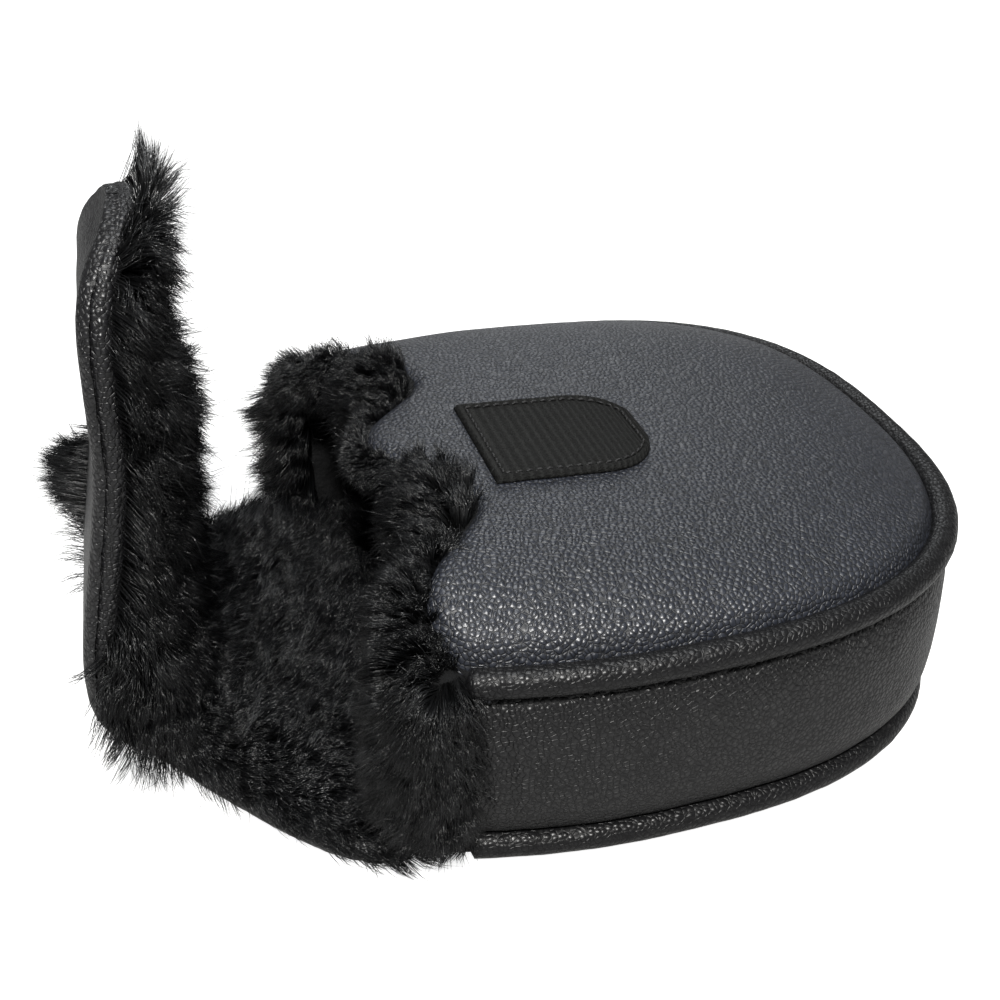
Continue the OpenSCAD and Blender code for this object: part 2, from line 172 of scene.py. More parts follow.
def leather(name, valley, crest, depth, gloss, shine):
    material = bpy.data.materials.new(name)
    material.use_nodes = True
    nodes, links = material.node_tree.nodes, material.node_tree.links
    shader = nodes["Principled BSDF"]
    hide = nodes.new("ShaderNodeGroup")
    hide.node_tree = grain
    hide.inputs["Scale"].default_value = 1 / pebble_size
    # Crest mask: the colour is darker in the valleys between pebbles and lighter on their crests. This
    # is painted shade in the valleys, added on top of the shading the bump already gives.
    colour = blend_colour(nodes, links, hide.outputs["Crest"], valley, crest)
    worn = blend_colour(nodes, links, hide.outputs["Patch"], (0.8, 0.8, 0.8), (1.2, 1.2, 1.22))
    links.new(tinted(nodes, links, colour, worn), shader.inputs["Base Color"])
    rough = map_value(nodes, links, hide.outputs["Crest"], gloss + 0.16, gloss)
    links.new(rough, shader.inputs["Roughness"])
    bump = nodes.new("ShaderNodeBump")
    bump.inputs["Strength"].default_value = depth
    bump.inputs["Distance"].default_value = pebble_height
    links.new(hide.outputs["Height"], bump.inputs["Height"])
    links.new(bump.outputs["Normal"], shader.inputs["Normal"])
    shader.inputs["Specular IOR Level"].default_value = shine
    return material


# One hide in four copies. The lid's copy is lighter and bluer, as painted light where it faces the
# lights. The wall copy (also used for the underside), the piping copy and the flap copy are darker, as
# painted shade.
deep_black = (0.002, 0.002, 0.0023)
lid_leather_painted_light = leather("lid_leather_painted_light", valley=(0.004, 0.0045, 0.006), crest=(0.016, 0.018, 0.024),
                      depth=0.9, gloss=0.36, shine=0.5)
wall_leather_painted_shade = leather("wall_leather_painted_shade", valley=deep_black, crest=(0.007, 0.007, 0.0075),
                       depth=0.9, gloss=0.36, shine=0.34)
piping_leather = leather("piping_leather", valley=(0.0015, 0.0015, 0.0018),
                         crest=(0.006, 0.006, 0.0065), depth=0.6, gloss=0.34, shine=0.27)
flap_leather_painted_shade = leather("flap_leather_painted_shade", valley=deep_black, crest=(0.008, 0.008, 0.009),
                       depth=0.9, gloss=0.34, shine=0.40)


# ---- plan of the pouch -----------------------------------------------------------------
# The seam line that the wall, the lid, the underside and both pipings share: straight-ish
# at the mouth, round at the back.
side_swell = 2.8            # how far the wall bulges past the seam line
seam_gap = 0.2
back_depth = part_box("side_panel")[1].x / mm - side_swell
half_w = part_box("side_panel")[1].y / mm - side_swell
side_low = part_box("side_panel")[0].z / mm - seam_gap
side_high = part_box("side_panel")[1].z / mm + seam_gap
front_depth = -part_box("side_panel")[0].x / mm
half_mouth = 56.0
back_square = 2.7
piping_r = 2.6
piping_out = 0.6
pad_t = 3.4                 # leather with its foam
fold_x = -46.0


def half_width(x):
    return half_w - (half_w - half_mouth) * (x / front_depth) ** 2


def unit(v):
    return v / np.maximum(np.linalg.norm(v, axis=-1, keepdims=True), 1e-9)


def wander(points, wavelength, seed):
    """Slow random swell from -1 to 1, different for each seed."""
    draw = np.random.default_rng(seed)
    total = np.zeros(len(points))
    for _ in range(6):
        direction = unit(draw.normal(size=3))
        phase = draw.uniform(0, 2 * np.pi)
        pace = draw.uniform(0.7, 1.5) * 2 * np.pi / wavelength
        total += np.sin(points @ direction * pace + phase)
    return total / 6


def seam_line(count):
    x = np.linspace(-front_depth, 0, 60, endpoint=False)
    near = np.column_stack([x, -half_width(x)])
    a = np.radians(np.linspace(-90, 90, 700))
    ca, sa = np.clip(np.cos(a), 0, 1), np.sin(a)
    back = np.column_stack([back_depth * ca ** (2 / back_square),
                            half_w * np.sign(sa) * np.abs(sa) ** (2 / back_square)])
    line = np.vstack([near, back, near[::-1] * (1, -1)])
    run = np.concatenate([[0], np.cumsum(np.linalg.norm(np.diff(line, axis=0), axis=1))])
    at = np.linspace(0, run[-1], count)
    line = np.column_stack([np.interp(at, run, line[:, 0]), np.interp(at, run, line[:, 1])])
    t = unit(np.gradient(line, axis=0))
    return line, np.column_stack([t[:, 1], -t[:, 0]])


seam_points, seam_out = seam_line(600)


def on_seam(u):
    k = np.clip(u, 0, 1) * (len(seam_points) - 1)
    own = np.arange(len(seam_points))
    p = np.column_stack([np.interp(k, own, seam_points[:, i]) for i in (0, 1)])
    n = np.column_stack([np.interp(k, own, seam_out[:, i]) for i in (0, 1)])
    return p, unit(n)


def deselect():
    bpy.ops.object.select_all(action="DESELECT")


def cut_panel(name, columns, rows, place, material, thickness=0.0):
    """A panel cut flat, then laid where place(u, v) says; thickness goes in from its face."""
    deselect()
    bpy.ops.mesh.primitive_grid_add(x_subdivisions=columns, y_subdivisions=rows, size=2)
    panel = bpy.context.object
    panel.name = name
    panel.data.name = name
    co = np.empty(len(panel.data.vertices) * 3)
    panel.data.vertices.foreach_get("co", co)
    co = co.reshape(-1, 3)
    laid = place((co[:, 0] + 1) / 2, (co[:, 1] + 1) / 2)
    panel.data.vertices.foreach_set("co", (laid * mm).ravel())
    panel.data.update()
    if thickness:
        wall = panel.modifiers.new("thickness", "SOLIDIFY")
        wall.thickness = thickness * mm
        wall.offset = -1
        bpy.ops.object.modifier_apply(modifier=wall.name)
    bpy.ops.object.shade_smooth()
    panel.data.materials.append(material)
    return panel


def stitched_tube(name, path, radius, material, sides=16, pucker=0.0, seed=1):
    """A leather strip rolled into a tube along a path, its ends closed."""
    path = np.asarray(path, float)
    n = len(path)
    tangent = unit(np.gradient(path, axis=0))
    across = np.zeros_like(path)
    across[0] = unit(np.cross(tangent[0], (0.31, 0.2, 0.93)))
    for i in range(1, n):
        across[i] = unit(across[i - 1] - tangent[i] * (across[i - 1] @ tangent[i]))
    up = np.cross(across, tangent)
    deselect()
    bpy.ops.mesh.primitive_cylinder_add(vertices=sides, radius=1, depth=2, end_fill_type="TRIFAN")
    tube = bpy.context.object
    tube.name = name
    tube.data.name = name
    tube.data.clear_geometry()
    k = 2 * np.pi * np.arange(sides) / sides
    size = np.full(n, float(radius)) if np.isscalar(radius) else np.asarray(radius, float)
    rings = path[:, None] + size[:, None, None] * (
        np.cos(k)[None, :, None] * across[:, None] + np.sin(k)[None, :, None] * up[:, None])
    if pucker:
        flat = rings.reshape(-1, 3)
        swell = wander(flat, 5.0, seed) * 0.6 + wander(flat, 2.6, seed + 1) * 0.4
        out = unit(flat - np.repeat(path, sides, axis=0))
        rings = (flat + out * (pucker * swell)[:, None]).reshape(n, sides, 3)
    points = np.vstack([rings.reshape(-1, 3), path[:1] - tangent[:1] * size[0] * 0.5,
                        path[-1:] + tangent[-1:] * size[-1] * 0.5])
    faces = []
    for i in range(n - 1):
        for j in range(sides):
            q = (j + 1) % sides
            faces.append((i * sides + j, i * sides + q, (i + 1) * sides + q, (i + 1) * sides + j))
    start, end = n * sides, n * sides + 1
    for j in range(sides):
        q = (j + 1) % sides
        faces.append((start, q, j))
        faces.append((end, (n - 1) * sides + j, (n - 1) * sides + q))
    tube.data.from_pydata((points * mm).tolist(), [], faces)
    tube.data.update()
    bpy.ops.object.mode_set(mode="EDIT")
    bpy.ops.mesh.select_all(action="SELECT")
    bpy.ops.mesh.normals_make_consistent(inside=False)
    bpy.ops.object.mode_set(mode="OBJECT")
    bpy.ops.object.shade_smooth()
    tube.data.materials.append(material)
    return tube


# ---- side wall -------------------------------------------------------------------------
# One long strip of leather over foam, sewn to both pipings and pulled tight at the seams,
# so that it swells between them. A few soft creases run down from the mouth ends.
side_h = side_high - side_low


def side_place(u, v):
    p, n = on_seam(u)
    rise = np.sin(np.pi * (v - 0.5)) * 0.5 + 0.5
    z = side_low - 0.9 + (side_h + 1.8) * rise
    q = np.abs(2 * rise - 1)
    out = side_swell * (1 - q ** 3.4) - 2.0 * q ** 9
    base = np.column_stack([p, z])
    out = out + 0.25 * wander(base, 26, 3) + 0.12 * wander(base, 9, 4)
    from_end = np.minimum(u, 1 - u) * 320
    crease = np.exp(-(from_end / 14) ** 2)
    out = out + crease * 0.35 * np.sin(from_end * 1.15 + z * 0.16) * (1 - q ** 2)
    base[:, :2] += n * out[:, None]
    return base


side_wall = cut_panel("side_wall", 340, 28, side_place, wall_leather_painted_shade, pad_t)
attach(side_wall, "pouch")
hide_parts("side_panel", "side_foam")


# ---- piping ----------------------------------------------------------------------------
# A strip of the same leather folded round a cord and caught in the seam, above and below
# the wall. It puckers a little where the thread pulls it.
def seam_path(z, out, count=420):
    p, n = on_seam(np.linspace(0, 1, count))
    p = p + n * out
    return np.column_stack([p, np.full(count, z)])


top_piping_z = side_high + piping_r
low_piping_z = piping_r + 0.05
for name, z, out, seed in (("top_piping", top_piping_z, piping_out, 11),
                           ("bottom_piping", low_piping_z, -0.5, 21)):
    roll = stitched_tube(name, seam_path(z, out), piping_r, piping_leather, 20, 0.10, seed)
    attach(roll, "pouch")
    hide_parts(name + "_cover", name + "_cord")


# ---- lid -------------------------------------------------------------------------------
# A crowned leather panel padded with foam. Its mouth edge runs in a tongue between two
# notches for the club's shaft, and is turned under.
crown = 10.0
mouth_rise = 2.0
fullness = 5
lid_seam_z = side_high + 2 * piping_r
tongue_x = -front_depth - 4.5
notch_depth = 14.0
notch_spacing = 46.0


def mouth_edge(y):
    a = np.abs(y)
    past = np.clip((a - notch_spacing) / (half_mouth - notch_spacing), 0, 1)
    inner = tongue_x + notch_depth * (1 - np.cos(2 * np.pi * a / notch_spacing)) / 2
    return np.where(a < notch_spacing, inner, tongue_x + 4.5 * past ** 2)


def front_edge(y):
    a = np.abs(y)
    outer = -front_depth * np.sqrt(np.clip(half_w - a, 0, None) / (half_w - half_mouth))
    return np.where(a <= half_mouth, mouth_edge(y), outer)


def back_edge(y):
    share = np.clip(np.abs(y) / half_w, 0, 1)
    return back_depth * (1 - share ** back_square) ** (1 / back_square)


def reach(x, y):
    behind = (np.clip(x, 0, None) / back_depth) ** back_square + (np.abs(y) / half_w) ** back_square
    return np.minimum(1, np.where(x > 0, behind ** (1 / back_square), np.abs(y) / half_width(x)))


def lid_z(x, y):
    return lid_seam_z + (crown - mouth_rise * x / front_depth) * (1 - reach(x, y) ** fullness)


def lid_place(u, v):
    y = (half_w - 0.9) * np.sin(np.pi * (v - 0.5))
    front = front_edge(y)
    back = back_edge(y * half_w / (half_w - 0.1)) - 1.0
    back = np.maximum(back, front + 0.2)
    x = front + (back - front) * (1 - np.cos(np.pi * u)) / 2
    z = lid_z(x, y)
    near_seam = np.clip((reach(x, y) - 0.935) / 0.05, 0, 1)
    z = z - 3.7 * near_seam ** 2.2
    from_edge = np.where(np.abs(y) < half_mouth, x - front, 99)
    z = z - 2.6 * np.clip(1 - from_edge / 4.5, 0, 1) ** 2.6
    points = np.column_stack([x, y, z])
    z = z + (0.22 * wander(points, 42, 31) + 0.10 * wander(points, 15, 32)) * (1 - near_seam)
    return np.column_stack([x, y, z])


lid = cut_panel("lid", 120, 150, lid_place, lid_leather_painted_light, pad_t)
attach(lid, "pouch")
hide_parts("top_panel", "top_foam")


# ---- underside -------------------------------------------------------------------------
# The flat leather base, padded, sewn to the bottom piping and carried on past the mouth
# as the flap.
def under_place(u, v):
    y = (half_w - 1.2) * np.sin(np.pi * (v - 0.5))
    front = np.where(np.abs(y) < 52, fold_x + 1.0, -front_depth * np.sqrt(
        np.clip(half_w - np.abs(y), 0, None) / (half_w - half_mouth)))
    front = np.where((np.abs(y) >= 52) & (np.abs(y) < half_mouth), fold_x + 1.0
                     + (np.abs(y) - 52) / 4 * (-front_depth - fold_x - 1.0), front)
    back = np.maximum(back_edge(y) - 2.0, front + 0.2)
    x = front + (back - front) * (1 - np.cos(np.pi * u)) / 2
    z = 0.15 + 0.9 * np.clip((reach(x, y) - 0.93) / 0.07, 0, 1) ** 2
    return np.column_stack([x, -y, z])


underside = cut_panel("underside", 60, 80, under_place, wall_leather_painted_shade, pad_t)
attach(underside, "pouch")
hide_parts("bottom_panel", "bottom_foam")


# ---- flap skins ------------------------------------------------------------------------
# The leather flap leaves the mouth flat, turns up and stands, narrowing to a strap with a
# round end. It is foam-padded, with a rolled edge sewn on along the fur side.
flap_flat = 28.0
turn_r = 18.0
turn = math.radians(95)
mid_len = 26.0
tip_len = 60.0
flap_w = 110.0
strap_w = 42.0
roll_r = 2.2
turn_len = turn_r * turn
up_start = flap_flat + turn_len
base_end = flap_flat + turn_len / 2
middle_end = up_start + mid_len
flap_end = middle_end + tip_len
end_round = strap_w / 2


slump_at = (0, 24, 36, 45, 53, 62, 71, 88, 105, 117, 128, 134, 139, 144)
slump_by = (0, 0, 1.6, 1.4, -0.8, -2.2, -1.6, 0.4, 2.0, 1.4, 0.8, 1.4, 3.6, 7.5)


def slump(s):
    """How far the soft flap sits inside its drawn line: a rounder turn, an easy S above it
    and an end that curls in."""
    return sum(np.interp(s + d, slump_at, slump_by) for d in (-4, -2, 0, 2, 4)) / 5


def flap_at(s, y, t):
    s, y, t = np.broadcast_arrays(*(np.asarray(q, float) for q in (s, y, t)))
    t = t + slump(s) + 0.05 * (y + strap_w / 2) * np.clip((s - 34) / 30, 0, 1)
    a = np.clip((s - flap_flat) / turn_r, 0, turn)
    past = np.clip(s - up_start, 0, None)
    x = fold_x - np.minimum(s, flap_flat) - (turn_r - t) * np.sin(a) - past * math.cos(turn)
    z = turn_r - (turn_r - t) * np.cos(a) + past * math.sin(turn)
    return np.stack([x, y, z], axis=-1)


def flap_in(s):
    a = np.clip((np.asarray(s, float) - flap_flat) / turn_r, 0, turn)
    return np.stack([np.sin(a), np.zeros_like(a), np.cos(a)], axis=-1)


def flap_on(s):
    a = np.clip((np.asarray(s, float) - flap_flat) / turn_r, 0, turn)
    return np.stack([-np.cos(a), np.zeros_like(a), np.sin(a)], axis=-1)


def flap_half(s):
    s = np.asarray(s, float)
    neck = base_end
    wide = strap_w / 2 + (flap_w - strap_w) / 2 * (1 + np.cos(np.pi * np.clip(s, 0, neck) / neck)) / 2
    into = np.clip((s - flap_end + end_round) / end_round, 0, 1)
    return np.where(s < neck, wide, strap_w / 2 * np.sqrt(np.clip(1 - into ** 2, 0.004, 1)))


def skin_place(s0, s1, tail):
    def place(u, v):
        k = np.sin(np.pi / 2 * u) if tail else u
        s = s0 + (s1 - s0) * k
        q = np.sin(np.pi * (v - 0.5))
        edge = np.clip((np.abs(q) - 0.86) / 0.14, 0, 1)
        y = q * (flap_half(s) + 0.3)
        t = 2.4 * (1 - np.sqrt(1 - 0.96 * edge ** 2))
        points = flap_at(s, y, t)
        t = t + 0.25 * wander(points, 24, 41) + edge * 0.35 * wander(points, 4.0, 42)
        return flap_at(s, y, t)
    return place


join_low = 26.0             # where the first covering hands over to the second
join_high = 70.0


def bend(piece):
    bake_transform(piece)


skins = (
    ("flap_base_skin", -1.5, join_low, 30, "mouth", "flap_base_leather", "flap_base_foam"),
    ("flap_middle_skin", join_low, join_high, 60, "turn", "flap_middle_leather", "flap_middle_foam"),
    ("flap_tip_skin", join_high, flap_end + 0.2, 70, "upper", "flap_tip_leather", "flap_tip_foam"),
)
for name, s0, s1, steps, fold, *nodes in skins:
    skin = cut_panel(name, steps, 64, skin_place(s0, s1, fold == "upper"), flap_leather_painted_shade, 3.0)
    bpy.ops.object.shade_smooth_by_angle(angle=math.radians(50))
    bend(skin)
    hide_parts(*nodes)


# ---- rolled edge of the flap -----------------------------------------------------------
# A leather strip turned over the edge of the flap and sewn down on its fur side.
roll_t = 3.6
straight = flap_end - end_round     # where the round end begins


def edge_run(s0, s1, side, count):
    s = np.linspace(s0, s1, count)
    return flap_at(s, side * (flap_half(s) - roll_r + 0.6), np.full(count, roll_t))


def round_end(count):
    a = np.linspace(0, np.pi, count)
    r = end_round - roll_r + 0.4
    return flap_at(straight + r * np.sin(a), -r * np.cos(a), np.full(count, roll_t))


for side, word in ((-1, "near"), (1, "far")):
    low_roll = stitched_tube(f"{word}_base_roll", edge_run(-1.5, join_low, side, 40), roll_r,
                             flap_leather_painted_shade, 14, 0.14, 51)
    bend(low_roll)
    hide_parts("flap_base_edge")
    mid_roll = stitched_tube(f"{word}_middle_roll", edge_run(join_low, join_high, side, 70), roll_r,
                             flap_leather_painted_shade, 14, 0.14, 52)
    bend(mid_roll)
    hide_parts("flap_middle_edge")
tip_path = np.vstack([edge_run(join_high, straight - 0.5, -1, 60), round_end(50),
                      edge_run(join_high, straight - 0.5, 1, 60)[::-1]])
tip_roll = stitched_tube("tip_roll", tip_path, roll_r, flap_leather_painted_shade, 14, 0.16, 53)
bend(tip_roll)
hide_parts("flap_tip_edge")


# ---- fur backing -----------------------------------------------------------------------
# The knitted back and dense undercoat of the long-pile fur that lines the pouch, the
# mouth and the flap. It is dark and lumpy, and the pile stands on it.
def undercoat():
    material = bpy.data.materials.new("undercoat")
    material.use_nodes = True
    nodes, links = material.node_tree.nodes, material.node_tree.links
    shader = nodes["Principled BSDF"]
    place = nodes.new("ShaderNodeTexCoord")
    lock = nodes.new("ShaderNodeTexNoise")
    lock.inputs["Scale"].default_value = 700
    lock.inputs["Detail"].default_value = 6
    lock.inputs["Roughness"].default_value = 0.7
    links.new(place.outputs["Object"], lock.inputs["Vector"])
    colour = blend_colour(nodes, links, lock.outputs["Fac"], (0.0008, 0.0008, 0.001),
                          (0.006, 0.0063, 0.007))
    links.new(colour, shader.inputs["Base Color"])
    rough = map_value(nodes, links, lock.outputs["Fac"], 0.65, 0.95)
    links.new(rough, shader.inputs["Roughness"])
    bump = nodes.new("ShaderNodeBump")
    bump.inputs["Strength"].default_value = 1
    bump.inputs["Distance"].default_value = 0.8 * mm
    links.new(lock.outputs["Fac"], bump.inputs["Height"])
    links.new(bump.outputs["Normal"], shader.inputs["Normal"])
    shader.inputs["Specular IOR Level"].default_value = 0.2
    return material


plush = undercoat()
back_t = pad_t + 0.1        # where the fur's back lies on the padding


def pad_rise(s):
    """Height of the dense undercoat: deepest in the turn, thin towards the round end."""
    return np.interp(s, (0, 26, 40, 55, 70, 95, 112, 126, 144), (4, 8, 13, 14.5, 12.5, 9, 8, 4.8, 2.8))


def pile_base(s, q):
    """Height of the undercoat across the flap, with the fuller far side by the mouth."""
    wing = 9.5 * np.exp(-((q - 0.55) / 0.32) ** 2 - ((s - 22) / 17) ** 2)
    return pad_rise(s) * (1 - np.abs(q) ** 4) ** 0.7 + wing * (1 - np.abs(q) ** 8)


def plush_flap(s0, s1):
    def place(u, v):
        s = s0 + (s1 - s0) * (np.sin(np.pi / 2 * u) if s1 > middle_end + 5 else u)
        q = np.sin(np.pi * (0.5 - v))
        half = flap_half(s) - 2.4
        y = q * np.maximum(half, 0.4)
        points = flap_at(s, y, np.full(len(s), back_t))
        t = back_t + pile_base(s, q) + 0.9 * wander(points, 11, 61)
        return flap_at(s, y, t)
    return place


flap_plush = (
    ("flap_base_plush", -1.0, join_low, "mouth", "flap_base_lining"),
    ("flap_middle_plush", join_low, join_high, "turn", "flap_middle_lining"),
    ("flap_tip_plush", join_high, flap_end - 2.6, "upper", "flap_tip_lining"),
)
for name, s0, s1, fold, node in flap_plush:
    backing = cut_panel(name, 60, 60, plush_flap(s0, s1), plush, 2.4)
    bend(backing)
    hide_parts(node)


def floor_place(u, v):
    y = (half_w - 8) * np.sin(np.pi * (v - 0.5))
    front = np.full(len(y), fold_x + 0.5)
    back = np.maximum(back_edge(y * half_w / (half_w - 5)) - 8, front + 1)
    x = front + (back - front) * u
    points = np.column_stack([x, y, np.full(len(y), 6.0)])
    z = 6.6 + 1.1 * wander(points, 13, 62)
    return np.column_stack([x, y, z])


def wall_lining_place(u, v):
    p, n = on_seam(u)
    z = 6.0 + (side_high - 3 - 6.0) * v
    points = np.column_stack([p, z])
    out = side_swell * (1 - (2 * v - 1) ** 2) - pad_t - 2.6 + 0.8 * wander(points, 12, 63)
    points[:, :2] += n * out[:, None]
    return points


def ceiling_place(u, v):
    y = (half_w - 6) * np.sin(np.pi * (0.5 - v))
    front = front_edge(y) + 1.5
    back = np.maximum(back_edge(y * half_w / (half_w - 4)) - 6, front + 1)
    x = front + (back - front) * u
    points = np.column_stack([x, y, np.zeros(len(y))])
    z = lid_z(x, y) - pad_t - 3.2 + 0.7 * wander(points, 12, 64)
    return np.column_stack([x, y, z])


for name, place, node, thick in (
    ("floor_plush", floor_place, "bottom_lining", 2.6),
    ("wall_plush", lambda u, v: wall_lining_place(1 - u, v), "side_lining", 2.4),
    ("ceiling_plush", ceiling_place, "top_lining", 2.4),
):
    backing = cut_panel(name, 54, 44, place, plush, thick)
    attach(backing, "pouch")
    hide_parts(node)


# ---- fur rolls at the mouth ------------------------------------------------------------
# The lining is turned over the mouth edge as a fat roll: full in the two shaft notches,
# thin under the tongue, and down both ends of the side wall.
def roll_size(y):
    a = np.abs(y)
    return 2.2 + 4.4 * np.exp(-((a - 23) / 9.5) ** 2) + 2.4 * np.clip((a - 36) / 14, 0, 1)


def mouth_path(y):
    r = roll_size(y)
    lobe = np.exp(-((np.abs(y) - 23) / 8.5) ** 2)
    x = mouth_edge(y) - 0.7 * r - 0.2 * lobe + 1.2
    z = lid_z(x, y) - 2.0 - r + 3.4 * lobe
    return np.column_stack([x, y, z]), r


def roll_body(name, path, r, body, *nodes):
    backing = stitched_tube(name, path, r, plush, 18, 0.8, 71)
    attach(backing, body)
    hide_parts(*nodes)
    return backing


mouth_rolls = (
    ("near_mouth_roll", -54.5, -11.5, ("near_notch_fur", "near_corner_fur")),
    ("tongue_roll", -11.5, 11.5, ("tongue_fur_edge",)),
    ("far_mouth_roll", 11.5, 54.5, ("far_notch_fur", "far_corner_fur")),
)
for name, y0, y1, nodes in mouth_rolls:
    path, r = mouth_path(np.linspace(y0, y1, 60))
    roll_body(name, path, r * 0.9, "pouch", *nodes)


end_roll_r = 4.6
end_roll_y = 52.0


def end_roll_x(z):
    return -front_depth - end_roll_r - 1.2 * np.sin(np.pi * (z - 7) / 33)


def side_path(side, count=40):
    z = np.linspace(7.5, 39.0, count)
    y = np.full(count, side * end_roll_y)
    return np.column_stack([end_roll_x(z), y, z]), np.full(count, end_roll_r)


for side, word in ((-1, "near"), (1, "far")):
    path, r = side_path(side)
    roll_body(f"{word}_side_roll", path, r, "pouch", f"{word}_side_fur")


# ---- long pile -------------------------------------------------------------------------
# The pile itself: fine tapered fibres, 8 to 14 mm long, that lean with the nap and cling
# together in locks. Each fibre is a closed three-sided spike with one bend in it.
def pile_material():
    material = bpy.data.materials.new("long_pile")
    material.use_nodes = True
    nodes, links = material.node_tree.nodes, material.node_tree.links
    shader = nodes["Principled BSDF"]
    along = nodes.new("ShaderNodeUVMap")
    along.uv_map = "pile"
    parts = nodes.new("ShaderNodeSeparateXYZ")
    links.new(along.outputs["UV"], parts.inputs[0])
    strand = blend_colour(nodes, links, parts.outputs["X"], (0.0012, 0.0013, 0.0015),
                          (0.009, 0.0095, 0.0105))
    # Each fibre is darker towards its root and lighter towards its tip: painted shade deep in the pile
    # and painted light on the tips.
    root_tip_shade = blend_colour(nodes, links, parts.outputs["Y"], (0.35, 0.35, 0.35), (1.3, 1.3, 1.3))
    links.new(tinted(nodes, links, strand, root_tip_shade), shader.inputs["Base Color"])
    rough = map_value(nodes, links, parts.outputs["Y"], 0.42, 0.24)
    links.new(rough, shader.inputs["Roughness"])
    sheen = map_value(nodes, links, parts.outputs["X"], 0.05, 1.0)
    links.new(sheen, shader.inputs["Specular IOR Level"])
    return material


pile_fibre = pile_material()
fibre_r = 0.065


def nearest(points, centres):
    tree = KDTree(len(centres))
    for i, c in enumerate(centres):
        tree.insert(c, i)
    tree.balance()
    return np.array([tree.find(p)[1] for p in points])


def grow(name, roots, normals, nap, length, seed, lay=0.6, lock=3.4, pull=0.45):
    """Fibres from roots, rising along normals and bending over along nap."""
    draw = np.random.default_rng(seed)
    count = len(roots)
    length = np.asarray(length) * draw.uniform(0.72, 1.12, count)
    stray = draw.uniform(size=count) < 0.035
    length = np.where(stray, length * 1.3, length)
    big = draw.choice(count, max(4, int(count / (lock * 16))), replace=False)
    small = draw.choice(count, max(8, count // 9), replace=False)
    of_big = nearest(roots, roots[big])
    of_small = nearest(roots, roots[small])
    swing = draw.normal(size=(len(big), 3)) * 0.26
    twist = draw.normal(size=(len(small), 3)) * 0.20
    own = draw.normal(size=(count, 3)) * np.where(stray, 0.45, 0.14)[:, None]
    rise = unit(normals * (1 - 0.45 * lay) + nap * 0.45 * lay + 0.5 * swing[of_big])
    over = unit(normals * (1 - lay) + nap * lay * 1.2 + swing[of_big] + twist[of_small] + own)
    tip = roots + rise * (0.42 * length)[:, None] + over * (0.58 * length)[:, None]
    for centres, group, hold in ((small, of_small, 0.5), (big, of_big, pull)):
        to = tip[centres][group]
        amount = np.where(stray, 0, hold * draw.uniform(0.5, 1.0, count))
        tip = tip + (to - tip) * amount[:, None]
    middle = roots + rise * (0.52 * length)[:, None] + (tip - roots) * 0.12
    for points in (middle, tip):
        points[:, 2] = np.maximum(points[:, 2], 0.3 + 0.06 * (points[:, 2] + 8).clip(0, 8))
    steps = (0.0, 0.55)
    bend_at = [(1 - t) ** 2 * roots + 2 * t * (1 - t) * middle + t * t * tip for t in steps]
    heading = [unit(middle - roots), unit(tip - roots)]
    turned = draw.normal(size=(count, 3))
    shade = (draw.uniform(0, 1, len(big))[of_big] * 0.6 + draw.uniform(0, 1, count) * 0.4)
    rings = []
    for centre, direction, size in zip(bend_at, heading, (1.0, 0.85)):
        side = unit(np.cross(direction, turned))
        up = np.cross(direction, side)
        for k in range(3):
            a = 2 * math.pi * k / 3
            rings.append(centre + fibre_r * size * (math.cos(a) * side + math.sin(a) * up))
    points = np.stack(rings + [tip], axis=1).reshape(-1, 3)
    pattern = np.array([(0, 2, 1), (0, 1, 4), (0, 4, 3), (1, 2, 5), (1, 5, 4), (2, 0, 3), (2, 3, 5),
                        (3, 4, 6), (4, 5, 6), (5, 3, 6)])
    faces = (np.arange(count)[:, None, None] * 7 + pattern[None]).reshape(-1, 3)
    mesh = bpy.data.meshes.new(name)
    mesh.vertices.add(len(points))
    mesh.vertices.foreach_set("co", (points * mm).ravel())
    mesh.loops.add(faces.size)
    mesh.loops.foreach_set("vertex_index", faces.ravel())
    mesh.polygons.add(len(faces))
    mesh.polygons.foreach_set("loop_start", np.arange(len(faces)) * 3)
    mesh.polygons.foreach_set("use_smooth", np.ones(len(faces), bool))
    mesh.update()
    along = np.tile(np.array([0, 0, 0, 0.6, 0.6, 0.6, 1.0]), count)
    uv = np.column_stack([np.repeat(shade, 7), along])[faces.ravel()]
    mesh.uv_layers.new(name="pile").data.foreach_set("uv", uv.ravel())
    mesh.materials.append(pile_fibre)
    piece = bpy.data.objects.new(name, mesh)
    bpy.context.scene.collection.objects.link(piece)
    return piece


few = 1.0


def spread(count, seed):
    """Even pairs from 0 to 1, and the generator that gave their start."""
    count = int(count * few)
    draw = np.random.default_rng(seed)
    i = np.arange(count) + draw.uniform()
    return np.column_stack([(i * 0.7548776662466927) % 1, (i * 0.5698402909980532) % 1]), draw


tuft_at = 80.0              # a loose tuft that stands out past the far edge of the flap
tuft_length = 14.5


